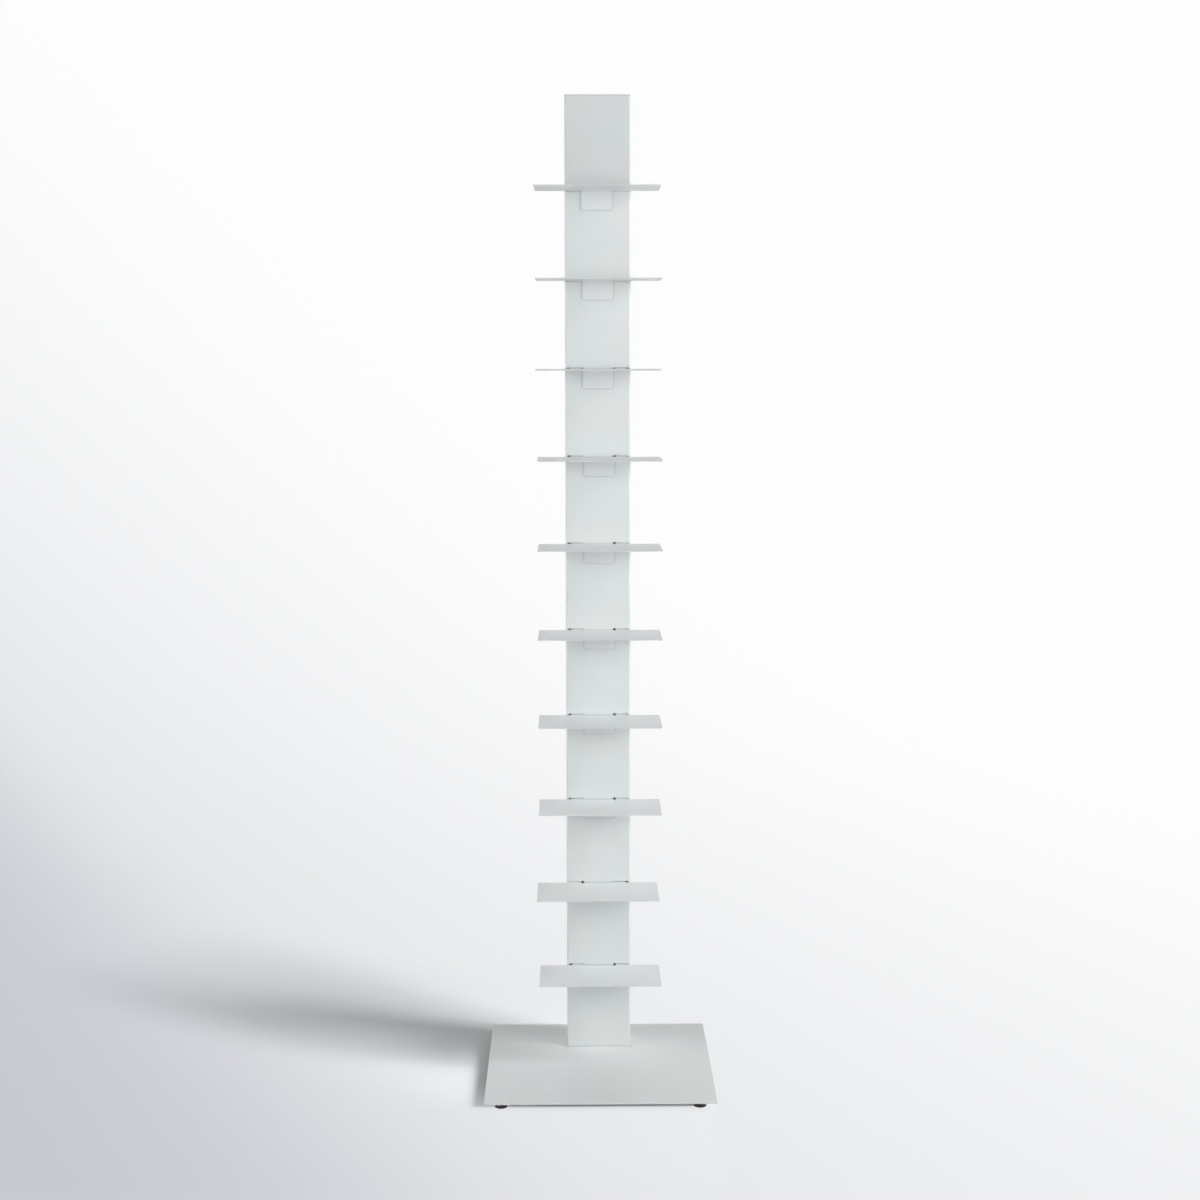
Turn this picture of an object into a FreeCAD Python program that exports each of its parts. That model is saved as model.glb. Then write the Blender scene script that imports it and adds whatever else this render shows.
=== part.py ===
import FreeCAD, Part
import math
import os
import Sketcher

# Spine bookshelf: a slotted box-section column on a square base plate, with ten folded sheet shelves
# hooked into it one above the other. Millimetres, +Z up, the front faces -Y. The origin is on the
# floor under the middle of the base plate.

SIZES = [
    # base plate
    ("base_width", 350, "side to side"),
    ("base_depth", 350, "front to back"),
    ("base_thickness", 3, "steel plate"),
    ("base_corner_radius", 2, "upright corners"),
    ("plate_edge_radius", 0.5, "broken top edge"),
    # column
    ("column_rise", 142.9, "top shelf to the top of the cap"),
    ("column_width", 101.6, "box section, side to side"),
    ("column_depth", 50.8, "box section, front to back"),
    ("column_wall", 2, "wall of the box section"),
    ("column_inside_radius", 1, "inside corner of the box section"),
    ("column_setback", 67.5, "middle of the base to the column's front face"),
    # cap
    ("cap_thickness", 2.5, "lid on the end of the column"),
    ("cap_edge_radius", 1.4, "broken edge round the lid"),
    ("cap_skirt_depth", 12, "collar inside the column"),
    ("cap_skirt_wall", 1.5, "thickness of that collar"),
    ("cap_fit", 0.15, "collar to the column's inside faces"),
    # shelves
    ("shelf_count", 10, "shelves, and rows of slots"),
    ("lowest_shelf_height", 151, "floor to the top of the lowest shelf"),
    ("shelf_pitch", 135.9, "from one shelf to the next"),
    ("shelf_width", 190, "side to side"),
    ("shelf_depth", 108, "front edge to the column's face"),
    ("shelf_thickness", 1.5, "sheet"),
    ("shelf_corner_radius", 1.5, "corners seen from above"),
    ("shelf_edge_radius", 0.5, "broken edges of the sheet"),
    ("shelf_rear_gap", 0.4, "rear edge to the column's face"),
    ("bend_radius", 2, "inside radius of every bend"),
    # the tab in the middle, which leans on the column
    ("tab_drop", 30, "below the shelf's top"),
    ("tab_corner_radius", 4, "lower corners"),
    ("tab_gap", 0.3, "tab to the column's face"),
    ("relief_width", 1.8, "slit between the tab and a tongue"),
    ("relief_past_bend", 0.7, "slit beyond the start of the tab's bend"),
    # the tongues each side of it, which hook behind the column's front wall
    ("tongue_width", 19.4, "each tongue"),
    ("hook_gap", 0.3, "hook to the back of the front wall"),
    ("hook_height", 8, "above the shelf's top"),
    ("hook_tip_radius", 0.5, "broken end of the hook"),
    # slots
    ("slot_edge_distance", 3.9, "slot to the side of the column"),
    ("slot_side_play", 2, "each side of a tongue in the middle of its slot"),
    ("slot_end_clearance", 0.3, "beside a tongue pushed to the end of its slot"),
    ("slot_floor_clearance", 0.3, "under a tongue"),
    ("slot_swing_clearance", 0.4, "slot taller than a tongue reaches in, to swing the hook through"),
    ("slot_corner_radius", 0.4, "corners of a slot"),
    # block in the foot of the column, and what bolts it down
    ("block_thickness", 8, "tapped block"),
    ("block_fit", 0.2, "block to the column's inside faces"),
    ("screw_inset_across", 16, "column's inside face to a screw, side to side"),
    ("screw_inset_along", 11, "column's inside face to a screw, front to back"),
    ("screw_diameter", 6, "thread"),
    ("screw_hole_clearance", 0.3, "screw to its hole in the base plate, each side"),
    ("screw_tip_short", 0.5, "screw's end below the top of the block"),
    ("screw_head_diameter", 10.5, "button head"),
    ("screw_head_height", 3.3, "button head"),
    ("screw_head_radius", 2.2, "rounding of the button head"),
    ("screw_tip_radius", 0.6, "end of a screw or stud"),
    ("socket_flats", 4, "hexagon socket, across flats"),
    ("socket_depth", 2, "hexagon socket"),
    ("washer_diameter", 12.5, "outside"),
    ("washer_thickness", 1.2, "plain washer"),
    ("thread_clearance", 0.05, "screw or stud to its hole, each side"),
    # levelling feet
    ("foot_inset", 25, "edge of the plate to the middle of a foot"),
    ("foot_diameter", 19, "pad"),
    ("foot_height", 5.7, "pad"),
    ("foot_sole_radius", 0.6, "lower edge of the pad"),
    ("foot_shoulder_radius", 1.2, "upper edge of the pad"),
    ("foot_nut_diameter", 14, "weld nut under the plate"),
    ("foot_nut_height", 6, "that nut"),
    ("foot_nut_clearance", 0.3, "pad to the nut, screwed right in"),
    ("stud_diameter", 6, "thread"),
    ("stud_top_clearance", 0.3, "stud to the plate, screwed right in"),
    ("stud_flange_diameter", 11, "flange moulded into the pad"),
    ("stud_flange_thickness", 1.6, "that flange"),
    ("stud_flange_height", 1.8, "floor to that flange"),
    ("stud_mould_clearance", 0.05, "stud to the plastic round it"),
]

CLOSE = 1e-3
FULL_TURN = 360
HEXAGON_SIDES = 6
SCREW_ROW_COUNT = 2
CENTRED = 0
LEFT = -1
RIGHT = 1
# where each shelf sits in the side play of its slots, from the lowest to the top one
SHELF_SIDES = [RIGHT, LEFT, RIGHT, RIGHT, RIGHT, RIGHT, RIGHT, CENTRED, CENTRED, LEFT]

document = FreeCAD.newDocument("spine_bookshelf")
sheet = document.addObject("Spreadsheet::Sheet", "Sizes")
for row, (alias, value, note) in enumerate(SIZES, start=1):
    sheet.set("A%d" % row, alias)
    sheet.set("B%d" % row, str(value))
    sheet.setAlias("B%d" % row, alias)
    sheet.set("C%d" % row, note)
document.recompute()


def size(alias):
    return float(sheet.get(alias))


def number(expression):
    return float(sheet.evalExpression(expression))


def origin_feature(body, role):
    for feature in body.Origin.OriginFeatures:
        if feature.Role == role:
            return feature
    raise ValueError(role)


def new_body(label):
    body = document.addObject("PartDesign::Body", label)
    body.Label = label
    body.AllowCompound = True
    return body


def place(body, across="0", along="0", up="0"):
    body.setExpression("Placement.Base.x", across)
    body.setExpression("Placement.Base.y", along)
    body.setExpression("Placement.Base.z", up)


def new_sketch(body, name, role, offset="0"):
    sketch = body.newObject("Sketcher::SketchObject", "%s_%s" % (body.Label, name))
    sketch.AttachmentSupport = [(origin_feature(body, role), "")]
    sketch.MapMode = "FlatFace"
    sketch.setExpression("AttachmentOffset.Base.z", offset)
    return sketch


def pin(sketch, direction, geometry, point, expression):
    """Holds one point of a sketch at a distance from its origin along one direction."""
    index = sketch.addConstraint(
        Sketcher.Constraint("Distance" + direction, -1, 1, geometry, point, number(expression)))
    sketch.setExpression("Constraints[%d]" % index, expression)


def set_radius(sketch, geometry, expression):
    index = sketch.addConstraint(Sketcher.Constraint("Radius", geometry, number(expression)))
    sketch.setExpression("Constraints[%d]" % index, expression)


def draw_outline(sketch, corners):
    """Draws a closed outline counter-clockwise. Its sides run along the sketch's axes.

    Each corner is (x, y) or (x, y, radius), all as expressions."""
    count = len(corners)
    points = [FreeCAD.Vector(number(corner[0]), number(corner[1]), 0) for corner in corners]
    radii = [corner[2] if len(corner) > 2 else None for corner in corners]
    steps = [(points[(i + 1) % count] - points[i]).normalize() for i in range(count)]
    before = []
    after = []
    for i in range(count):
        reach = number(radii[i]) if radii[i] else 0
        before.append(points[i] - steps[i - 1] * reach)
        after.append(points[i] + steps[i] * reach)
    sides = []
    for i in range(count):
        following = (i + 1) % count
        side = sketch.addGeometry(Part.LineSegment(after[i], before[following]))
        sides.append(side)
        if corners[i][0] == corners[following][0]:
            sketch.addConstraint(Sketcher.Constraint("Vertical", side))
            pin(sketch, "X", side, 1, corners[i][0])
        else:
            sketch.addConstraint(Sketcher.Constraint("Horizontal", side))
            pin(sketch, "Y", side, 1, corners[i][1])
    for i in range(count):
        if not radii[i]:
            sketch.addConstraint(Sketcher.Constraint("Coincident", sides[i - 1], 2, sides[i], 1))
            continue
        centre = before[i] + after[i] - points[i]
        turns_left = steps[i - 1].cross(steps[i]).z > 0
        first, last = (before[i], after[i]) if turns_left else (after[i], before[i])
        start = math.atan2(first.y - centre.y, first.x - centre.x)
        end = start + math.pi / 2
        circle = Part.Circle(centre, FreeCAD.Vector(0, 0, 1), first.distanceToPoint(centre))
        arc = sketch.addGeometry(Part.ArcOfCircle(circle, start, end))
        entry, leave = (1, 2) if turns_left else (2, 1)
        sketch.addConstraint(Sketcher.Constraint("Tangent", sides[i - 1], 2, arc, entry))
        sketch.addConstraint(Sketcher.Constraint("Tangent", sides[i], 1, arc, leave))
        set_radius(sketch, arc, radii[i])


def draw_rectangle(sketch, left, right, front, back, radius=None):
    corners = [(left, front), (right, front), (right, back), (left, back)]
    draw_outline(sketch, [corner + ((radius,) if radius else ()) for corner in corners])


def draw_circle(sketch, across, along, radius):
    centre = FreeCAD.Vector(number(across), number(along), 0)
    circle = sketch.addGeometry(Part.Circle(centre, FreeCAD.Vector(0, 0, 1), number(radius)))
    pin(sketch, "X", circle, 3, across)
    pin(sketch, "Y", circle, 3, along)
    set_radius(sketch, circle, radius)


def draw_hexagon(sketch, flats):
    """Draws a regular hexagon round the sketch's origin, with two corners on its X axis."""
    reach = "%s / sqrt(3)" % flats
    guide = sketch.addGeometry(
        Part.Circle(FreeCAD.Vector(0, 0, 0), FreeCAD.Vector(0, 0, 1), number(reach)), True)
    sketch.addConstraint(Sketcher.Constraint("Coincident", guide, 3, -1, 1))
    set_radius(sketch, guide, reach)
    corners = []
    for i in range(HEXAGON_SIDES):
        angle = math.radians(FULL_TURN / HEXAGON_SIDES * i)
        corners.append(FreeCAD.Vector(math.cos(angle), math.sin(angle), 0) * number(reach))
    sides = []
    for i in range(HEXAGON_SIDES):
        sides.append(sketch.addGeometry(Part.LineSegment(corners[i - 1], corners[i])))
    for i in range(HEXAGON_SIDES):
        sketch.addConstraint(Sketcher.Constraint("Coincident", sides[i - 1], 2, sides[i], 1))
        sketch.addConstraint(Sketcher.Constraint("PointOnObject", sides[i], 1, guide))
        if i:
            sketch.addConstraint(Sketcher.Constraint("Equal", sides[0], sides[i]))
    sketch.addConstraint(Sketcher.Constraint("PointOnObject", sides[0], 2, -1))


def pad(body, sketch, length, symmetric=False, downwards=False):
    feature = body.newObject("PartDesign::Pad", sketch.Label + "_pad")
    feature.Profile = sketch
    feature.setExpression("Length", length)
    feature.Midplane = symmetric
    feature.Reversed = downwards
    sketch.Visibility = False
    document.recompute()
    return feature


def pocket(body, sketch, length, reverse=False):
    solid_before = body.Shape.Volume
    feature = body.newObject("PartDesign::Pocket", sketch.Label + "_pocket")
    feature.Profile = sketch
    feature.setExpression("Length", length)
    feature.Reversed = reverse
    document.recompute()
    if not body.Shape.Volume < solid_before:
        raise ValueError("%s cuts nothing" % sketch.Label)
    return feature


def revolve(body, sketch):
    feature = body.newObject("PartDesign::Revolution", sketch.Label + "_turned")
    feature.Profile = sketch
    feature.ReferenceAxis = (sketch, ["V_Axis"])
    feature.Angle = FULL_TURN
    document.recompute()
    return feature


def round_edges(body, feature, radius, wanted):
    """Rounds the edges of a feature that pass the test."""
    names = []
    for index, edge in enumerate(feature.Shape.Edges, start=1):
        if wanted(edge):
            names.append("Edge%d" % index)
    fillet = body.newObject("PartDesign::Fillet", feature.Label + "_rounded")
    fillet.Base = (feature, names)
    fillet.setExpression("Radius", radius)
    document.recompute()
    return fillet


def lies_at(edge, height):
    return abs(edge.BoundBox.ZMin - height) < CLOSE and abs(edge.BoundBox.ZMax - height) < CLOSE


def draw_four_rings(sketch, across, along, inner, outer=None):
    """Draws four circles at the corners of a rectangle, or four rings if outer is given."""
    for side in ("-0.5", "0.5"):
        for end in ("-0.5", "0.5"):
            for radius in filter(None, (inner, outer)):
                draw_circle(sketch, "%s * %s" % (side, across), "%s * %s" % (end, along), radius)


# Expressions that more than one piece uses
FLOOR_GAP = "(Sizes.foot_height + Sizes.foot_nut_clearance + Sizes.foot_nut_height)"
PLATE_TOP = "(%s + Sizes.base_thickness)" % FLOOR_GAP
TOP_SHELF = "(Sizes.lowest_shelf_height + (Sizes.shelf_count - 1) * Sizes.shelf_pitch)"
TUBE_TOP = "(%s + Sizes.column_rise - Sizes.cap_thickness)" % TOP_SHELF
COLUMN_MIDDLE = "(Sizes.column_setback + Sizes.column_depth / 2)"
COLUMN_OUTSIDE_RADIUS = "Sizes.column_inside_radius + Sizes.column_wall"
HOOK_FACE = "(Sizes.column_wall + Sizes.hook_gap)"
HOOK_BACK = "(%s + Sizes.shelf_thickness)" % HOOK_FACE
TONGUE_OUTER = "(Sizes.column_width / 2 - Sizes.slot_edge_distance - Sizes.slot_side_play)"
TONGUE_MIDDLE = "(%s - Sizes.tongue_width / 2)" % TONGUE_OUTER
TONGUE_INNER = "(%s - Sizes.tongue_width)" % TONGUE_OUTER
HALF_TAB = "(%s - Sizes.relief_width)" % TONGUE_INNER
SCREW_ACROSS = "(Sizes.column_width - 2 * Sizes.column_wall - 2 * Sizes.screw_inset_across)"
SCREW_ALONG = "(Sizes.column_depth - 2 * Sizes.column_wall - 2 * Sizes.screw_inset_along)"
SCREW_HOLE = "Sizes.screw_diameter / 2 + Sizes.screw_hole_clearance"
SCREW_THREAD = "Sizes.screw_diameter / 2 + Sizes.thread_clearance"
FOOT_ACROSS = "(Sizes.base_width - 2 * Sizes.foot_inset)"
FOOT_ALONG = "(Sizes.base_depth - 2 * Sizes.foot_inset)"


def make_base_plate():
    body = new_body("base_plate")
    outline = new_sketch(body, "outline", "XY_Plane")
    draw_rectangle(
        outline, "-Sizes.base_width / 2", "Sizes.base_width / 2",
        "-Sizes.base_depth / 2", "Sizes.base_depth / 2", "Sizes.base_corner_radius")
    plate = pad(body, outline, "Sizes.base_thickness")
    round_edges(
        body, plate, "Sizes.plate_edge_radius",
        lambda edge: lies_at(edge, size("base_thickness")))
    holes = new_sketch(body, "screw_holes", "XY_Plane")
    for side in ("-0.5", "0.5"):
        for end in ("-0.5", "0.5"):
            draw_circle(
                holes, "%s * %s" % (side, SCREW_ACROSS),
                "%s + %s * %s" % (COLUMN_MIDDLE, end, SCREW_ALONG), SCREW_HOLE)
    pocket(body, holes, "Sizes.base_thickness", reverse=True)
    place(body, up=FLOOR_GAP)
    return body


def draw_section(sketch, inset, radius):
    """Draws the column's section, or a smaller one inside it. Its front face is at y = 0."""
    draw_rectangle(
        sketch, "-Sizes.column_width / 2 + " + inset, "Sizes.column_width / 2 - (%s)" % inset,
        inset, "Sizes.column_depth - (%s)" % inset, radius)


def make_column():
    body = new_body("column")
    section = new_sketch(body, "section", "XY_Plane")
    draw_section(section, "0", COLUMN_OUTSIDE_RADIUS)
    draw_section(section, "Sizes.column_wall", "Sizes.column_inside_radius")
    pad(body, section, "%s - %s" % (TUBE_TOP, PLATE_TOP))
    slots = new_sketch(body, "slots", "XZ_Plane")
    underside = "Sizes.lowest_shelf_height - Sizes.shelf_thickness - " + PLATE_TOP
    low = underside + " - Sizes.slot_floor_clearance"
    high = "%s + %s + Sizes.slot_swing_clearance" % (low, HOOK_BACK)
    half_slot = "(Sizes.tongue_width / 2 + Sizes.slot_side_play)"
    for side in ("-1", "1"):
        middle = "%s * %s" % (side, TONGUE_MIDDLE)
        draw_rectangle(
            slots, "%s - %s" % (middle, half_slot), "%s + %s" % (middle, half_slot), low, high,
            "Sizes.slot_corner_radius")
    lowest_row = pocket(body, slots, "Sizes.column_wall + Sizes.column_inside_radius")
    rows = body.newObject("PartDesign::LinearPattern", "column_slot_rows")
    rows.Originals = [lowest_row]
    rows.Direction = (origin_feature(body, "Z_Axis"), [""])
    rows.setExpression("Length", "(Sizes.shelf_count - 1) * Sizes.shelf_pitch")
    rows.setExpression("Occurrences", "Sizes.shelf_count")
    body.Tip = rows
    place(body, along="Sizes.column_setback", up=PLATE_TOP)
    return body


def make_top_cap():
    body = new_body("top_cap")
    lid_outline = new_sketch(body, "lid", "XY_Plane")
    draw_section(lid_outline, "0", COLUMN_OUTSIDE_RADIUS)
    lid = pad(body, lid_outline, "Sizes.cap_thickness")
    round_edges(
        body, lid, "Sizes.cap_edge_radius", lambda edge: lies_at(edge, size("cap_thickness")))
    collar = new_sketch(body, "collar", "XY_Plane")
    outside = "Sizes.column_wall + Sizes.cap_fit"
    draw_section(collar, outside, "Sizes.column_inside_radius")
    draw_section(collar, outside + " + Sizes.cap_skirt_wall", None)
    pad(body, collar, "Sizes.cap_skirt_depth", downwards=True)
    place(body, along="Sizes.column_setback", up=TUBE_TOP)
    return body


def make_column_block():
    body = new_body("column_block")
    outline = new_sketch(body, "outline", "XY_Plane")
    draw_rectangle(
        outline, "-Sizes.column_width / 2 + Sizes.column_wall + Sizes.block_fit",
        "Sizes.column_width / 2 - Sizes.column_wall - Sizes.block_fit",
        "-Sizes.column_depth / 2 + Sizes.column_wall + Sizes.block_fit",
        "Sizes.column_depth / 2 - Sizes.column_wall - Sizes.block_fit",
        "Sizes.column_inside_radius")
    pad(body, outline, "Sizes.block_thickness")
    holes = new_sketch(body, "threads", "XY_Plane")
    draw_four_rings(holes, SCREW_ACROSS, SCREW_ALONG, SCREW_THREAD)
    pocket(body, holes, "Sizes.block_thickness", reverse=True)
    place(body, along=COLUMN_MIDDLE, up=PLATE_TOP)
    return body


def make_column_washers():
    body = new_body("column_washers")
    rings = new_sketch(body, "rings", "XY_Plane")
    draw_four_rings(rings, SCREW_ACROSS, SCREW_ALONG, SCREW_HOLE, "Sizes.washer_diameter / 2")
    pad(body, rings, "Sizes.washer_thickness", downwards=True)
    place(body, along=COLUMN_MIDDLE, up=FLOOR_GAP)
    return body


def make_column_screws():
    """Four button-head screws. Each head bears upwards on its washer at z = 0."""
    body = new_body("column_screws")
    profile = new_sketch(body, "profile", "XZ_Plane")
    shank = "Sizes.washer_thickness + Sizes.base_thickness + Sizes.block_thickness"
    draw_outline(profile, [
        ("0", "-Sizes.screw_head_height"),
        ("Sizes.screw_head_diameter / 2", "-Sizes.screw_head_height", "Sizes.screw_head_radius"),
        ("Sizes.screw_head_diameter / 2", "0"),
        ("Sizes.screw_diameter / 2", "0"),
        ("Sizes.screw_diameter / 2", shank + " - Sizes.screw_tip_short", "Sizes.screw_tip_radius"),
        ("0", shank + " - Sizes.screw_tip_short"),
    ])
    screw = revolve(body, profile)
    socket_outline = new_sketch(body, "socket", "XY_Plane", "-Sizes.screw_head_height")
    draw_hexagon(socket_outline, "Sizes.socket_flats")
    socket = pocket(body, socket_outline, "Sizes.socket_depth", reverse=True)
    grid = body.newObject("PartDesign::MultiTransform", "column_screws_grid")
    grid.Originals = [screw, socket]
    body.Tip = grid
    across = body.newObject("PartDesign::LinearPattern", "column_screws_across")
    across.Direction = (origin_feature(body, "X_Axis"), [""])
    across.setExpression("Length", SCREW_ACROSS)
    across.Occurrences = SCREW_ROW_COUNT
    along = body.newObject("PartDesign::LinearPattern", "column_screws_along")
    along.Direction = (origin_feature(body, "Y_Axis"), [""])
    along.setExpression("Length", SCREW_ALONG)
    along.Occurrences = SCREW_ROW_COUNT
    grid.Transformations = [across, along]
    body.Tip = grid
    place(
        body, across="-%s / 2" % SCREW_ACROSS, along="%s - %s / 2" % (COLUMN_MIDDLE, SCREW_ALONG),
        up=FLOOR_GAP + " - Sizes.washer_thickness")
    return body


def make_shelf(index, side):
    """One folded sheet. Its top is at z = 0 and the column's face at y = 0."""
    body = new_body("shelf_%02d" % (index + 1))
    half_width = "Sizes.shelf_width / 2"
    bend_start = "-Sizes.tab_gap - Sizes.bend_radius - Sizes.shelf_thickness"
    rear = "-Sizes.shelf_rear_gap"
    front = "-Sizes.shelf_depth"
    slit = bend_start + " - Sizes.relief_past_bend"
    corner = "Sizes.shelf_corner_radius"
    blank = new_sketch(body, "blank", "XY_Plane")
    draw_outline(blank, [
        ("-" + half_width, front, corner),
        (half_width, front, corner),
        (half_width, rear, corner),
        (TONGUE_INNER, rear),
        (TONGUE_INNER, slit),
        (HALF_TAB, slit),
        (HALF_TAB, bend_start),
        ("-" + HALF_TAB, bend_start),
        ("-" + HALF_TAB, slit),
        ("-" + TONGUE_INNER, slit),
        ("-" + TONGUE_INNER, rear),
        ("-" + half_width, rear, corner),
    ])
    panel = pad(body, blank, "Sizes.shelf_thickness", downwards=True)
    outer_reach = size("shelf_width") / 2 - size("shelf_corner_radius")
    front_reach = size("shelf_corner_radius") - size("shelf_depth")

    def is_outer(edge):
        middle = edge.BoundBox.Center
        is_flat = edge.BoundBox.ZLength < CLOSE
        return is_flat and (abs(middle.x) > outer_reach or middle.y < front_reach)

    round_edges(body, panel, "Sizes.shelf_edge_radius", is_outer)

    fold = new_sketch(body, "tab", "YZ_Plane")
    outer_bend = "Sizes.bend_radius + Sizes.shelf_thickness"
    draw_outline(fold, [
        (bend_start + " - Sizes.shelf_thickness", "-Sizes.shelf_thickness"),
        ("-Sizes.tab_gap - Sizes.shelf_thickness", "-Sizes.shelf_thickness", "Sizes.bend_radius"),
        ("-Sizes.tab_gap - Sizes.shelf_thickness", "-Sizes.tab_drop"),
        ("-Sizes.tab_gap", "-Sizes.tab_drop"),
        ("-Sizes.tab_gap", "0", outer_bend),
        (bend_start + " - Sizes.shelf_thickness", "0"),
    ])
    tab = pad(body, fold, "2 * " + HALF_TAB, symmetric=True)
    tab_low = -size("tab_drop")
    round_edges(
        body, tab, "Sizes.tab_corner_radius",
        lambda edge: lies_at(edge, tab_low) and edge.BoundBox.XLength < CLOSE)

    hook = new_sketch(body, "tongue", "YZ_Plane", TONGUE_MIDDLE)
    draw_outline(hook, [
        (slit, "-Sizes.shelf_thickness"),
        (HOOK_BACK, "-Sizes.shelf_thickness", outer_bend),
        (HOOK_BACK, "Sizes.hook_height", "Sizes.hook_tip_radius"),
        (HOOK_FACE, "Sizes.hook_height", "Sizes.hook_tip_radius"),
        (HOOK_FACE, "0", "Sizes.bend_radius"),
        (slit, "0"),
    ])
    tongue = pad(body, hook, "Sizes.tongue_width", symmetric=True)
    pair = body.newObject("PartDesign::Mirrored", body.Label + "_tongues")
    pair.Originals = [tongue]
    pair.MirrorPlane = (origin_feature(body, "YZ_Plane"), [""])
    body.Tip = pair
    place(
        body, across="%d * (Sizes.slot_side_play - Sizes.slot_end_clearance)" % side,
        along="Sizes.column_setback",
        up="Sizes.lowest_shelf_height + %d * Sizes.shelf_pitch" % index)
    return body


def make_foot_nuts():
    """Four round weld nuts, blind against the underside of the base plate."""
    body = new_body("foot_nuts")
    rings = new_sketch(body, "rings", "XY_Plane")
    draw_four_rings(
        rings, FOOT_ACROSS, FOOT_ALONG, "Sizes.stud_diameter / 2 + Sizes.thread_clearance",
        "Sizes.foot_nut_diameter / 2")
    pad(body, rings, "Sizes.foot_nut_height", downwards=True)
    place(body, up=FLOOR_GAP)
    return body


def place_foot(body, side, end):
    place(body, across="%s * %s" % (side, FOOT_ACROSS), along="%s * %s" % (end, FOOT_ALONG))


def make_foot_stud(corner, side, end):
    body = new_body("foot_stud_" + corner)
    profile = new_sketch(body, "profile", "XZ_Plane")
    flange = "Sizes.stud_flange_diameter / 2"
    low = "Sizes.stud_flange_height"
    high = "Sizes.stud_flange_height + Sizes.stud_flange_thickness"
    top = FLOOR_GAP + " - Sizes.stud_top_clearance"
    draw_outline(profile, [
        ("0", low),
        (flange, low),
        (flange, high),
        ("Sizes.stud_diameter / 2", high),
        ("Sizes.stud_diameter / 2", top, "Sizes.screw_tip_radius"),
        ("0", top),
    ])
    revolve(body, profile)
    place_foot(body, side, end)
    return body


def make_foot_pad(corner, side, end):
    """A plastic pad moulded round the flange of its stud."""
    body = new_body("foot_pad_" + corner)
    profile = new_sketch(body, "profile", "XZ_Plane")
    rim = "Sizes.foot_diameter / 2"
    neck = "Sizes.stud_diameter / 2 + Sizes.stud_mould_clearance"
    flange = "Sizes.stud_flange_diameter / 2 + Sizes.stud_mould_clearance"
    low = "Sizes.stud_flange_height - Sizes.stud_mould_clearance"
    high = "Sizes.stud_flange_height + Sizes.stud_flange_thickness + Sizes.stud_mould_clearance"
    draw_outline(profile, [
        ("0", "0"),
        (rim, "0", "Sizes.foot_sole_radius"),
        (rim, "Sizes.foot_height", "Sizes.foot_shoulder_radius"),
        (neck, "Sizes.foot_height"),
        (neck, high),
        (flange, high),
        (flange, low),
        ("0", low),
    ])
    revolve(body, profile)
    place_foot(body, side, end)
    return body


pieces = [
    make_base_plate(),
    make_column(),
    make_top_cap(),
    make_column_block(),
    make_column_washers(),
    make_column_screws(),
    make_foot_nuts(),
]
for index in range(round(size("shelf_count"))):
    pieces.append(make_shelf(index, SHELF_SIDES[index % len(SHELF_SIDES)]))
for end_name, end in (("front", "-0.5"), ("rear", "0.5")):
    for side_name, side in (("left", "-0.5"), ("right", "0.5")):
        pieces.append(make_foot_stud("%s_%s" % (end_name, side_name), side, end))
        pieces.append(make_foot_pad("%s_%s" % (end_name, side_name), side, end))
document.recompute()

for item in document.Objects:
    if "Invalid" in item.State or "Error" in item.State:
        raise ValueError("%s failed: %s" % (item.Label, item.State))
for piece in pieces:
    if piece.Shape.isNull() or not piece.Shape.isValid():
        raise ValueError("%s has no valid shape" % piece.Label)

os.makedirs("parts", exist_ok=True)
for piece in pieces:
    piece.Shape.exportStep(os.path.join("parts", piece.Label + ".step"))
    print("%s: %d solids, %.0f mm3" % (piece.Label, len(piece.Shape.Solids), piece.Shape.Volume))
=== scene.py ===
import math

import bmesh
import bpy
from mathutils import Matrix, Vector


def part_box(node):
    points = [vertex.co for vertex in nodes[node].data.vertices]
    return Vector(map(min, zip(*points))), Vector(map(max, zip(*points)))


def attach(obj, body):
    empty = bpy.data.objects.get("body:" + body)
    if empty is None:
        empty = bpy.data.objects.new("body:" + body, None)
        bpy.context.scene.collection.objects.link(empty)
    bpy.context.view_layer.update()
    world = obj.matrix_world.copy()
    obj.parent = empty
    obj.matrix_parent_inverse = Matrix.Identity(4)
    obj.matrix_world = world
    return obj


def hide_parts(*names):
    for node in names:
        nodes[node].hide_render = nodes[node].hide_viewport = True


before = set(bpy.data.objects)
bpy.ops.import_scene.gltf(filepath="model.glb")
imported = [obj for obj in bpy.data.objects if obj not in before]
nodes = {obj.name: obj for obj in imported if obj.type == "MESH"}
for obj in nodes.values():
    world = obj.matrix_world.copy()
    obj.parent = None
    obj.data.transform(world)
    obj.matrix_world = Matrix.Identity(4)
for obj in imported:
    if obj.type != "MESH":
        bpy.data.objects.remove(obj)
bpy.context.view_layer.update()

scene = bpy.context.scene
mm = 0.001
weldReach = 1e-6        # metres, corners this near to each other become one
samePlace = 1e-7
white = (1, 1, 1, 1)


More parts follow.
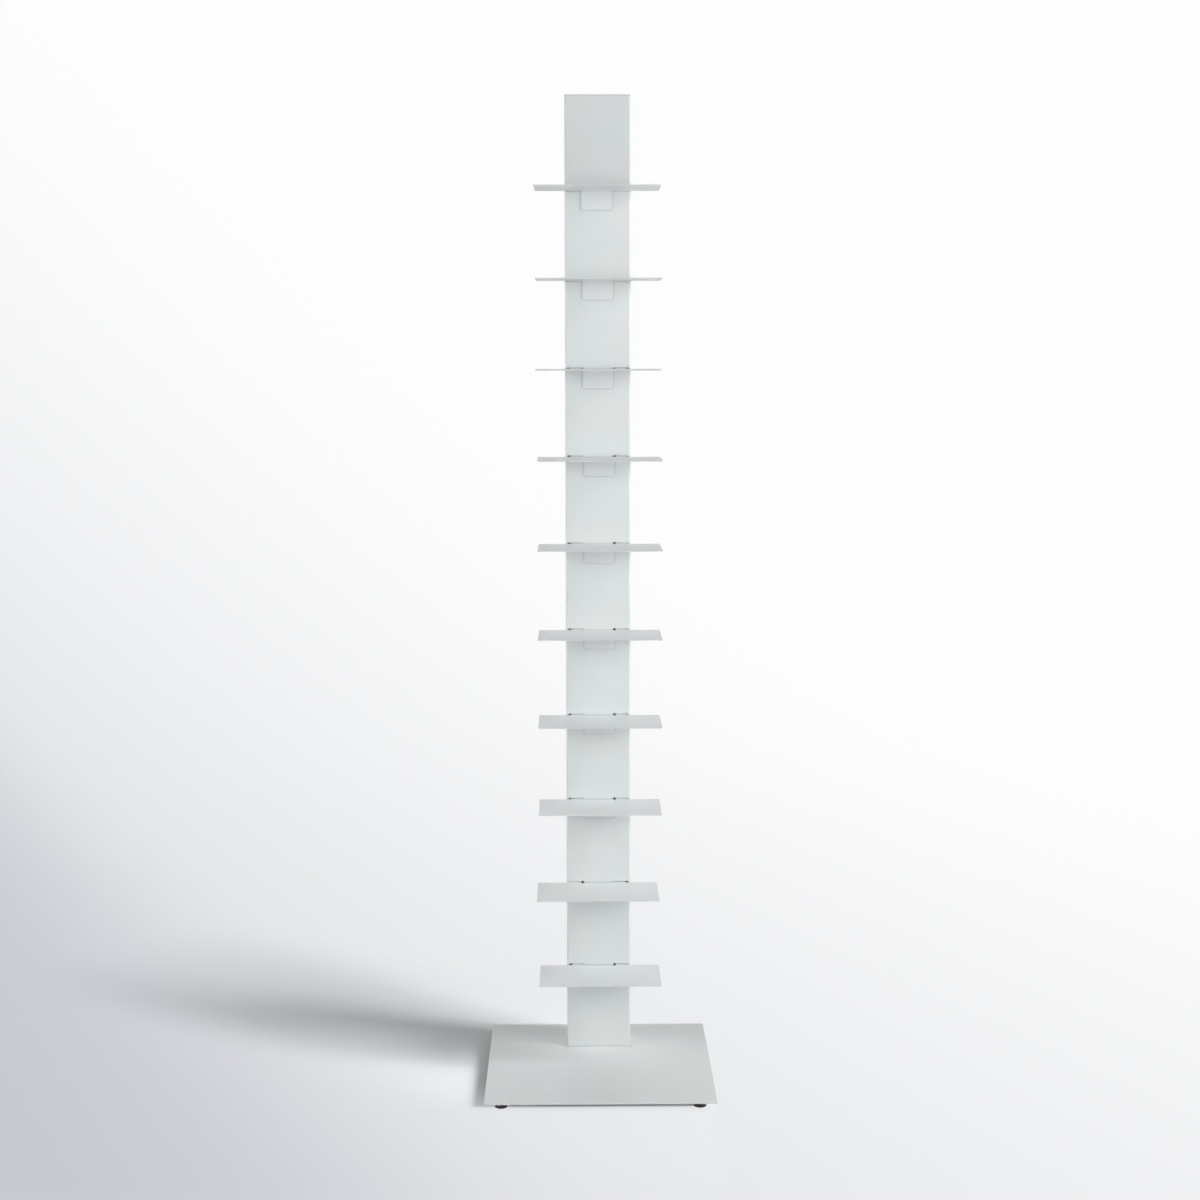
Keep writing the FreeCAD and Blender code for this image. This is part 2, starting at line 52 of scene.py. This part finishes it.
class Wire:        # one output socket, so that sums can be written as sums
    def __init__(self, tree, socket=None):
        self.tree = tree
        self.socket = socket

    def node(self, kind, settings=None, sockets=None, out=0):
        made = self.tree.nodes.new(kind)
        for name, value in (settings or {}).items():
            if name == "stops":
                setStops(made.color_ramp, value)
            else:
                setattr(made, name, value)
        for name, value in (sockets or {}).items():
            if isinstance(value, Wire):
                self.tree.links.new(value.socket, made.inputs[name])
            else:
                made.inputs[name].default_value = value
        return Wire(self.tree, made.outputs[out]) if made.outputs else made

    def maths(self, operation, left, right):
        return self.node("ShaderNodeMath", {"operation": operation}, {0: left, 1: right})

    def __add__(self, other):
        return self.maths("ADD", self, other)

    def __radd__(self, other):
        return self.maths("ADD", other, self)

    def __sub__(self, other):
        return self.maths("SUBTRACT", self, other)

    def __rsub__(self, other):
        return self.maths("SUBTRACT", other, self)

    def __mul__(self, other):
        return self.maths("MULTIPLY", self, other)

    def __rmul__(self, other):
        return self.maths("MULTIPLY", other, self)


def setStops(ramp, stops):
    while len(ramp.elements) < len(stops):
        ramp.elements.new(0.5)        # its place is set below
    for element, (position, share) in zip(ramp.elements, stops):
        element.position = position
        element.color = opaque((share, share, share))


def opaque(colour):
    return (*colour, 1)


def newMaterial(name):
    material = bpy.data.materials.new(name)
    material.use_nodes = True
    material.node_tree.nodes.clear()
    return material, Wire(material.node_tree)


def noise(start, where, size, detail, roughness):        # size in metres
    return start.node("ShaderNodeTexNoise", {"noise_dimensions": "3D"},
                      {"Vector": where, "Scale": 1 / size, "Detail": detail, "Roughness": roughness})


def rampOf(start, value, stops):
    return start.node("ShaderNodeValToRGB", {"stops": stops}, {"Fac": value})


def mixColours(start, share, first, second):
    return start.node("ShaderNodeMix", {"data_type": "RGBA"}, {"Factor": share, 6: first, 7: second}, out=2)


def mixShaders(start, share, first, second):
    return start.node("ShaderNodeMixShader", None, {0: share, 1: first, 2: second})


def darker(colour, share):
    return tuple(channel * share for channel in colour)


def fade(start, value, low, high, kind="SMOOTHSTEP"):        # 0 at low, 1 at high
    return start.node("ShaderNodeMapRange", {"interpolation_type": kind}, {
        "Value": value, "From Min": low, "From Max": high, "To Min": 0.0, "To Max": 1.0})


def bumpOf(start, height):        # from heights in millimetres
    return start.node("ShaderNodeBump", None, {"Strength": 1.0, "Distance": mm, "Height": height})


def finishSurface(start, values):
    surface = start.node("ShaderNodeBsdfPrincipled", None, values)
    start.node("ShaderNodeOutputMaterial", None, {"Surface": surface})


paint = {        # satin powder coat
    "colours": {        # off-white with a trace of cyan, and the tone that it drifts to; frame, base and shelf are one paint, made slightly lighter or darker as painted light and shade to match how each part is lit
        "frame": ((0.787, 0.832, 0.837), (0.802, 0.827, 0.822)),
        "base": ((0.812, 0.844, 0.852), (0.824, 0.838, 0.828)),
        "shelf": ((0.820, 0.852, 0.856), (0.828, 0.848, 0.848)),
        # painted shade: the cap gets a darker copy of the frame's paint, for the shade along its rounded
        # top edge
        "cap": ((0.730, 0.770, 0.775), (0.740, 0.765, 0.765)),
    },
    "drift": (90 * mm, 3.0, 0.5),        # size, detail and roughness of the noise, here and below
    "driftStops": [(0.35, 0), (0.65, 1)],
    "paintedShadeParts": ("frame", "base"),
    "paintedShadeReach": 2.6 * mm,        # painted shade: their coat is darkened this near to another sheet's edge, where shade falls in the joints
    "paintedShadeSamples": 4,
    "paintedShadeOpen": (0.97, 0.60),        # openness where that starts, and where it is full
    "paintedShadeTone": 0.75,        # as a share of the colour, and so is the next
    "pitTone": 0.8,        # the pits of the grain
    "pitShare": 0.05,        # how much of that tone shows in them
    "pitStops": [(0.36, 1), (0.50, 0)],
    "roughness": 0.42,
    "roughnessSpread": 0.10,
    "peel": (1.7 * mm, 1.5, 0.4),        # orange peel left by the powder
    "peelHeight": 0.018,        # millimetres
    "grain": (0.42 * mm, 2.0, 0.6),        # finer grain on top of it
    "grainHeight": 0.005,
    "ior": 1.5,
}


def makePaint(part):
    material, start = newMaterial(part + "Paint")
    colour, driftTo = paint["colours"][part]
    where = start.node("ShaderNodeTexCoord", out="Object")
    drift = noise(start, where, *paint["drift"])
    peel = noise(start, where, *paint["peel"])
    grain = noise(start, where, *paint["grain"])
    pits = rampOf(start, grain, paint["pitStops"])
    tone = mixColours(start, rampOf(start, drift, paint["driftStops"]), opaque(colour), opaque(driftTo))
    tone = mixColours(start, pits * paint["pitShare"], tone, opaque(darker(colour, paint["pitTone"])))
    # painted shade: where ambient occlusion finds another sheet near, the colour is darkened, as shade
    # along joints and tab edges
    if part in paint["paintedShadeParts"]:
        openness = start.node("ShaderNodeAmbientOcclusion", {"samples": paint["paintedShadeSamples"]},
                              {"Distance": paint["paintedShadeReach"]}, out="AO")
        paintedShadeShare = fade(start, openness, *paint["paintedShadeOpen"], "LINEAR")
        tone = mixColours(start, paintedShadeShare, tone, opaque(darker(colour, paint["paintedShadeTone"])))
    finishSurface(start, {
        "Base Color": tone,
        "Roughness": (peel - 0.5) * paint["roughnessSpread"] + paint["roughness"],
        "Normal": bumpOf(start, peel * paint["peelHeight"] + grain * paint["grainHeight"]),
        "IOR": paint["ior"]})
    return material


zinc = {
    "colour": (0.62, 0.64, 0.66),
    "cloudy": (0.50, 0.52, 0.55),
    "clouds": (4 * mm, 4.0, 0.5),
    "cloudStops": [(0.38, 0), (0.64, 1)],
    "roughness": 0.30,
    "roughnessSpread": 0.16,
    "scratches": (0.5 * mm, 3.0, 0.7),
    "scratchHeight": 0.003,        # millimetres
}

steel = {
    "colour": (0.33, 0.33, 0.34),
    "cloudy": (0.21, 0.20, 0.20),
    "clouds": (9 * mm, 4.0, 0.5),
    "cloudStops": [(0.38, 0), (0.64, 1)],
    "roughness": 0.48,
    "roughnessSpread": 0.18,
    "scratches": (0.8 * mm, 3.0, 0.7),
    "scratchHeight": 0.006,
}


def makeMetal(name, look):        # plated or bare steel
    material, start = newMaterial(name)
    where = start.node("ShaderNodeTexCoord", out="Object")
    clouds = noise(start, where, *look["clouds"])
    scratches = noise(start, where, *look["scratches"])
    share = rampOf(start, clouds, look["cloudStops"])
    finishSurface(start, {
        "Base Color": mixColours(start, share, opaque(look["colour"]), opaque(look["cloudy"])),
        "Metallic": 1.0,
        "Roughness": (clouds - 0.5) * look["roughnessSpread"] + look["roughness"],
        "Normal": bumpOf(start, scratches * look["scratchHeight"])})
    return material


nylon = {
    "colour": (0.016, 0.016, 0.017),
    "scuffed": (0.040, 0.040, 0.041),
    "scuffs": (5 * mm, 5.0, 0.65),
    "scuffStops": [(0.52, 0), (0.72, 1)],
    "roughness": 0.50,
    "roughnessSpread": 0.12,
    "grain": (0.35 * mm, 2.0, 0.5),
    "grainHeight": 0.010,        # millimetres
}


def makeNylon(name):        # the black moulded pads
    material, start = newMaterial(name)
    where = start.node("ShaderNodeTexCoord", out="Object")
    scuffs = noise(start, where, *nylon["scuffs"])
    grain = noise(start, where, *nylon["grain"])
    share = rampOf(start, scuffs, nylon["scuffStops"])
    finishSurface(start, {
        "Base Color": mixColours(start, share, opaque(nylon["colour"]), opaque(nylon["scuffed"])),
        "Roughness": (scuffs - 0.5) * nylon["roughnessSpread"] + nylon["roughness"],
        "Normal": bumpOf(start, grain * nylon["grainHeight"])})
    return material


framePaint = makePaint("frame")
basePaint = makePaint("base")
shelfPaint = makePaint("shelf")
capShadedPaint = makePaint("cap")
zincPlate = makeMetal("zincPlate", zinc)
bareSteel = makeMetal("bareSteel", steel)
blackNylon = makeNylon("blackNylon")

finishes = {        # by the start of a node's name
    "base_plate": basePaint,
    "column_block": bareSteel,
    "column_washers": zincPlate,
    "column_screws": zincPlate,
    "column": framePaint,
    "top_cap": capShadedPaint,
    "shelf_": shelfPaint,
    "foot_nuts": basePaint,
    "foot_stud_": zincPlate,
    "foot_pad_": blackNylon,
}


def finishFor(name):
    for beginning, material in finishes.items():
        if name.startswith(beginning):
            return material
    raise ValueError(name)


for name, node in nodes.items():
    material = finishFor(name)
    if not node.data.materials:
        node.data.materials.append(material)
    for slot in node.material_slots:
        slot.material = material
print("finishes:", len(nodes), "nodes")


def meshPiece(name, build, material, smooth=True):
    mesh = bpy.data.meshes.new(name)
    work = bmesh.new()
    build(work)
    bmesh.ops.remove_doubles(work, verts=work.verts, dist=weldReach)
    bmesh.ops.recalc_face_normals(work, faces=work.faces)
    for face in work.faces:
        face.smooth = smooth
    work.to_mesh(mesh)
    work.free()
    mesh.materials.append(material)
    piece = bpy.data.objects.new(name, mesh)
    scene.collection.objects.link(piece)
    return piece


def addFace(work, corners):        # corners at one place count once
    distinct = []
    for corner in corners:
        if all((corner.co - other.co).length > samePlace for other in distinct):
            distinct.append(corner)
    if len(distinct) > 2:
        work.faces.new(distinct)


stud = {
    "rodRadius": 3.0 * mm,
    "flangeHeight": 1.6 * mm,        # the round flange that sits in the pad
    "neck": 0.4 * mm,        # plain rod between the flange and the thread
    "pitch": 1.0 * mm,
    "depth": 0.55 * mm,
    "crest": 0.14,        # share of a pitch that is flat, at the crest and again at the root
    "sides": 64,        # steps round one turn
    "endSlope": 1.2,        # how fast the thread runs out at its two ends
    "tipSink": 0.2 * mm,        # how far the tip is turned down below the thread's root
}


def threadedStud(corner):        # a rolled thread above the flange
    low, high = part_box("foot_stud_" + corner)
    middle = (low + high) / 2
    flangeRadius = (high.x - low.x) / 2
    flangeTop = low.z + stud["flangeHeight"]
    threadLow = flangeTop + stud["neck"]
    radius = stud["rodRadius"]
    root = radius - stud["depth"]
    crest, pitch, steps = stud["crest"], stud["pitch"], stud["sides"]
    halfPitch = 0.5
    # one pitch of the thread, as the share of the pitch and the distance from the rod's axis
    profile = [(0.0, radius), (crest, radius), (halfPitch, root), (halfPitch + crest, root)]
    turns = math.ceil((high.z - threadLow) / pitch) + 2        # one more at each end, cut off by point

    def point(step, share, reach):
        angle = 2 * math.pi * step / steps
        height = threadLow + (step / steps + share - 1) * pitch
        height = min(max(height, threadLow), high.z)
        topReach = root - stud["tipSink"] + (high.z - height) * stud["endSlope"]
        lowReach = root + (height - threadLow) * stud["endSlope"]
        reach = min(reach, topReach, lowReach)
        return (middle.x + reach * math.cos(angle), middle.y + reach * math.sin(angle), height)

    def closeEnd(work, height, rings):        # from the thread's rim through the rings to a flat face
        rim = [v for v in work.verts if abs(v.co.z - height) < samePlace]
        rim.sort(key=lambda v: math.atan2(v.co.y - middle.y, v.co.x - middle.x))
        for reach, level in rings:
            ring = []
            for v in rim:
                away = Vector((v.co.x - middle.x, v.co.y - middle.y, 0)).normalized() * reach
                ring.append(work.verts.new((middle.x + away.x, middle.y + away.y, level)))
            for i in range(len(rim)):
                addFace(work, [rim[i - 1], rim[i], ring[i], ring[i - 1]])
            rim = ring
        work.faces.new(rim)

    def build(work):
        rows = []
        for step in range(steps * turns + 1):
            rows.append([work.verts.new(point(step, share, reach)) for share, reach in profile])
        for step in range(steps * turns):
            here, there = rows[step], rows[step + 1]
            for i in range(len(profile) - 1):
                addFace(work, [here[i], there[i], there[i + 1], here[i + 1]])
            if step + steps < steps * turns:
                addFace(work, [here[-1], there[-1], rows[step + steps + 1][0], rows[step + steps][0]])
        bmesh.ops.remove_doubles(work, verts=work.verts, dist=weldReach)
        closeEnd(work, high.z, [])
        closeEnd(work, threadLow, [(root, flangeTop), (flangeRadius, flangeTop), (flangeRadius, low.z)])

    piece = meshPiece("stud_" + corner, build, zincPlate, smooth=False)
    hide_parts("foot_stud_" + corner)
    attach(piece, "foot_" + corner)


weldBead = {
    "nutRadius": 7.0 * mm,
    "leg": 1.7 * mm,        # how far it reaches along the nut and along the plate
    "bulge": 0.30 * mm,
    "ripples": 26,        # round one nut
    "rippleHeight": 0.10 * mm,
    "sides": 130,        # steps round one nut
    "arcPoints": 6,        # points across the bead's curved face
    "sink": 0.05 * mm,        # how far its hidden sides lie inside the nut and the plate
}


def nutWeld(corner):        # the bead that holds a nut on the underside of the plate
    low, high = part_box("foot_pad_" + corner)
    middle = (low + high) / 2
    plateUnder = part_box("base_plate")[0].z
    nutRadius, leg, sink = weldBead["nutRadius"], weldBead["leg"], weldBead["sink"]
    slant = math.sqrt(0.5)        # the bead bulges out at 45 degrees

    def section(angle):        # distance from the nut's axis, and height
        ripple = 0.5 + 0.5 * math.cos(angle * weldBead["ripples"])
        points = [(nutRadius - sink, plateUnder + sink), (nutRadius - sink, plateUnder - leg)]
        for i in range(weldBead["arcPoints"]):
            along = i / (weldBead["arcPoints"] - 1)
            bulge = weldBead["bulge"] + ripple * weldBead["rippleHeight"]
            out = math.sin(math.pi * along) * bulge * slant
            points.append((nutRadius + leg * along + out, plateUnder - leg * (1 - along) - out))
        return points + [(nutRadius + leg, plateUnder + sink)]

    def build(work):
        rings = []
        for step in range(weldBead["sides"]):
            angle = 2 * math.pi * step / weldBead["sides"]
            rings.append([work.verts.new((middle.x + reach * math.cos(angle),
                                          middle.y + reach * math.sin(angle), level))
                          for reach, level in section(angle)])
        for i in range(len(rings)):
            here, there = rings[i - 1], rings[i]
            for j in range(len(here)):
                addFace(work, [here[j - 1], here[j], there[j], there[j - 1]])

    piece = meshPiece("nut_weld_" + corner, build, basePaint)
    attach(piece, "tower")


corners = ["front_left", "front_right", "rear_left", "rear_right"]
for corner in corners:
    threadedStud(corner)
    nutWeld(corner)
print("added: studs and nut welds,", len(corners), "each")


backdrop = {
    "halfWidth": 7.0,
    "floorFront": -6.0,
    "wallAt": 3.6,
    "wallHeight": 6.0,
    "sweepRadius": 1.4,
    "sweepSteps": 24,
    "across": (1.0, 0.5, 1.0),        # painted light and shade: its tone runs from grey at the near left floor to white at the upper right, like light falling off
    "from": -0.95,        # metres along that line
    "to": 2.35,
    "nearTone": (0.57, 0.59, 0.635),
    "upperTone": (0.982, 0.982, 0.982),
    "cornerFade": (0.05, 0.23),        # the near corner's quick rise, as shares of that line
    "cornerShare": 0.30,        # as a share of the whole rise
    "risePower": 1.6,        # the rest rises quicker at first the higher this is
    "litTone": 0.98,        # the floor's tone where the lamp lights it, as a share of its own tone
    "farTone": (0.93, 0.93, 0.935),        # plain floor outside the camera's view
    "farFront": (-0.42, -1.00),        # metres, where that starts and where it is full
    "farSide": (1.0, 0.28, 0.0),        # the same across the view's left edge
    "farLeft": (-0.97, -1.70),
    "shadowSide": (0.62, 0.78, 0.0),        # across the object's shadow, which runs to the rear left
    "shadowMiddle": -0.04,
    "shadowHalf": (0.11, 0.30),        # the floor shows the shadow this near to its middle line,
    "shadowAlong": (-0.78, 0.62, 0.0),
    "shadowEnd": (0.45, 1.20),        # and up to here along it, and its own even tone beyond
    "frontEdge": (-0.144, -0.159),        # its tone also turns even under the base plate's front edge,
    "frontShare": 0.93,        # by this much,
    "rightEdge": (0.160, 0.178),        # and under its right edge
    "colour": (0.52, 0.52, 0.52),        # what the floor throws back at the object
    "glow": 0.51,        # light that the far backdrop gives off
    "glowDepth": (0.9, 2.2),        # where the floor turns into the glowing backdrop
}


def seen(start):        # 1 where the camera, a reflection or a clear part looks at it
    cameraRay, glossyRay, clearRay = [
        start.node("ShaderNodeLightPath", out=name)
        for name in ("Is Camera Ray", "Is Glossy Ray", "Is Transmission Ray")]
    return start.maths("MAXIMUM", cameraRay, start.maths("MAXIMUM", glossyRay, clearRay))


def metresAlong(start, where, direction):
    return start.node("ShaderNodeVectorMath", {"operation": "DOT_PRODUCT"},
                      {0: where, 1: direction}, out="Value")


# painted light and shade: a tone that darkens towards the near left floor, standing in for light falling
# off across floor and backdrop
def floorTone(start, where, depth):
    metres = metresAlong(start, where, backdrop["across"])
    run = fade(start, metres, backdrop["from"], backdrop["to"], "LINEAR")
    corner = fade(start, run, *backdrop["cornerFade"])
    rest = 1 - start.maths("POWER", 1 - run, backdrop["risePower"])
    rise = corner * backdrop["cornerShare"] + rest * (1 - backdrop["cornerShare"])
    tone = mixColours(start, rise, opaque(backdrop["nearTone"]), opaque(backdrop["upperTone"]))
    left = metresAlong(start, where, backdrop["farSide"])
    far = start.maths("MAXIMUM", fade(start, depth, *backdrop["farFront"]),
                      fade(start, left, *backdrop["farLeft"]))
    return mixColours(start, far, tone, opaque(backdrop["farTone"]))


def shadowShown(start, where, depth):        # 1 where the floor shows the object's shadow
    width = start.node("ShaderNodeSeparateXYZ", None, {0: where}, out="X")
    side = metresAlong(start, where, backdrop["shadowSide"])
    offLine = start.maths("ABSOLUTE", side - backdrop["shadowMiddle"], 0.0)
    beside = fade(start, offLine, *backdrop["shadowHalf"])
    beyond = fade(start, metresAlong(start, where, backdrop["shadowAlong"]), *backdrop["shadowEnd"])
    front = fade(start, depth, *backdrop["frontEdge"]) * backdrop["frontShare"]
    right = fade(start, width, *backdrop["rightEdge"])
    return (1 - beside) * (1 - beyond) * (1 - front) * (1 - right)


def makeBackdropPaper():
    material, start = newMaterial("backdropPaper")
    where = start.node("ShaderNodeNewGeometry", out="Position")
    depth = start.node("ShaderNodeSeparateXYZ", None, {0: where}, out="Y")
    tone = floorTone(start, where, depth)
    litTone = start.node("ShaderNodeVectorMath", {"operation": "SCALE"},
                         {0: tone, "Scale": backdrop["litTone"]})
    lit = start.node("ShaderNodeBsdfDiffuse", None, {"Color": litTone})
    # where no real shadow is shown, the floor glows in that painted tone
    even = start.node("ShaderNodeEmission", None, {"Color": tone})
    shown = mixShaders(start, shadowShown(start, where, depth), even, lit)
    paper = start.node("ShaderNodeBsdfDiffuse", None, {"Color": opaque(backdrop["colour"])})
    glow = start.node("ShaderNodeEmission", None, {"Color": white, "Strength": backdrop["glow"]})
    given = mixShaders(start, fade(start, depth, *backdrop["glowDepth"]), paper, glow)
    start.node("ShaderNodeOutputMaterial", None, {"Surface": mixShaders(start, seen(start), given, shown)})
    return material


def makeBackdrop():        # floor, sweep and wall in one sheet
    radius, wall = backdrop["sweepRadius"], backdrop["wallAt"]
    outline = [(backdrop["floorFront"], 0.0)]
    for i in range(backdrop["sweepSteps"] + 1):
        angle = math.pi / 2 * i / backdrop["sweepSteps"]
        outline.append((wall - radius + radius * math.sin(angle), radius - radius * math.cos(angle)))
    outline.append((wall, backdrop["wallHeight"]))

    def build(work):
        sides = []
        for x in (-backdrop["halfWidth"], backdrop["halfWidth"]):
            sides.append([work.verts.new((x, y, z)) for y, z in outline])
        for i in range(len(outline) - 1):
            addFace(work, [sides[0][i], sides[1][i], sides[1][i + 1], sides[0][i + 1]])

    sheet = meshPiece("backdrop", build, makeBackdropPaper())
    return sheet


lamps = {        # watts and metres, azimuth in degrees from the front towards the right
    "keyRight": {"power": 28.7, "size": (0.45, 1.25), "azimuth": 72, "height": 1.69, "distance": 2.2},
    "keyFront": {"power": 12.2, "size": (0.50, 0.75), "azimuth": 56, "height": 1.05, "distance": 2.2},
    "fillLeft": {"power": 13.8, "size": (0.45, 1.20), "azimuth": -60, "height": 1.25, "distance": 2.2},
    "edgeLeft": {"power": 8.1, "size": (0.45, 0.85), "azimuth": -75, "height": 1.40, "distance": 2.2},
    "floorRight": {"power": 175, "size": (1.7, 1.7), "azimuth": 59, "height": 3.40, "distance": 5.0},
}
aimHeight = 0.75
floorOnly = ("floorRight",)        # this one draws the shadow on the floor and leaves the object alone


def makeLamp(name, look, floorCollection):
    lamp = bpy.data.lights.new(name, "AREA")
    lamp.shape = "RECTANGLE"
    lamp.size, lamp.size_y = look["size"]
    lamp.energy = look["power"]
    holder = bpy.data.objects.new(name, lamp)
    angle, distance = math.radians(look["azimuth"]), look["distance"]
    holder.location = (distance * math.sin(angle), -distance * math.cos(angle), look["height"])
    aim = Vector((0, 0, aimHeight)) - holder.location
    holder.rotation_euler = aim.to_track_quat("-Z", "Y").to_euler()
    holder.visible_camera = False        # no other view shows a white board
    if name in floorOnly:
        holder.light_linking.receiver_collection = floorCollection
    scene.collection.objects.link(holder)


air = {
    "front": 0.345,        # soft light from in front, up to the height below
    "top": 0.64,        # sine of the angle above the floor
    "edge": 0.12,        # how softly it ends there and at the sides
    "shown": 0.95,        # what other views and reflections see there
}


def makeWorld():
    world = bpy.data.worlds.new("studioAir")
    scene.world = world
    world.use_nodes = True
    world.node_tree.nodes.clear()
    start = Wire(world.node_tree)
    toward = start.node("ShaderNodeTexCoord", out="Generated")
    depth = start.node("ShaderNodeSeparateXYZ", None, {0: toward}, out="Y")
    height = start.node("ShaderNodeSeparateXYZ", None, {0: toward}, out="Z")
    front = fade(start, depth, air["edge"], -air["edge"])
    low = fade(start, height, air["top"] + air["edge"], air["top"] - air["edge"])
    lookedAt = seen(start)
    strength = front * low * air["front"]
    light = start.node("ShaderNodeBackground", None, {
        "Color": white, "Strength": (1 - lookedAt) * strength + lookedAt * air["shown"]})
    start.node("ShaderNodeOutputWorld", None, {"Surface": light})


camera = {
    "lens": 60.06,        # mm, on a sensor 36 mm wide
    "sensor": 36,
    "place": (-0.0362, -3.0494, 1.1396),
    "lookDown": 0.1269,        # radians, and so are the next two
    "turnRight": 0.0125,
    "lean": -0.0012,
}


def makeCamera():
    data = bpy.data.cameras.new("camera")
    data.lens = camera["lens"]
    data.sensor_width = camera["sensor"]
    holder = bpy.data.objects.new("camera", data)
    down, turn, lean = camera["lookDown"], camera["turnRight"], camera["lean"]
    ahead = Vector((math.sin(turn) * math.cos(down), math.cos(turn) * math.cos(down), -math.sin(down)))
    level = Vector((math.cos(turn), -math.sin(turn), 0))
    upright = level.cross(ahead)
    right = level * math.cos(lean) + upright * math.sin(lean)
    up = upright * math.cos(lean) - level * math.sin(lean)
    turned = Matrix((right, up, -ahead)).transposed().to_4x4()
    holder.matrix_world = Matrix.Translation(camera["place"]) @ turned
    scene.collection.objects.link(holder)
    scene.camera = holder


floorCollection = bpy.data.collections.new("floorOnly")
floorCollection.objects.link(makeBackdrop())
for name, look in lamps.items():
    makeLamp(name, look, floorCollection)
makeWorld()
makeCamera()
scene.view_settings.view_transform = "Standard"
print("studio: backdrop,", len(lamps), "lamps and the camera")
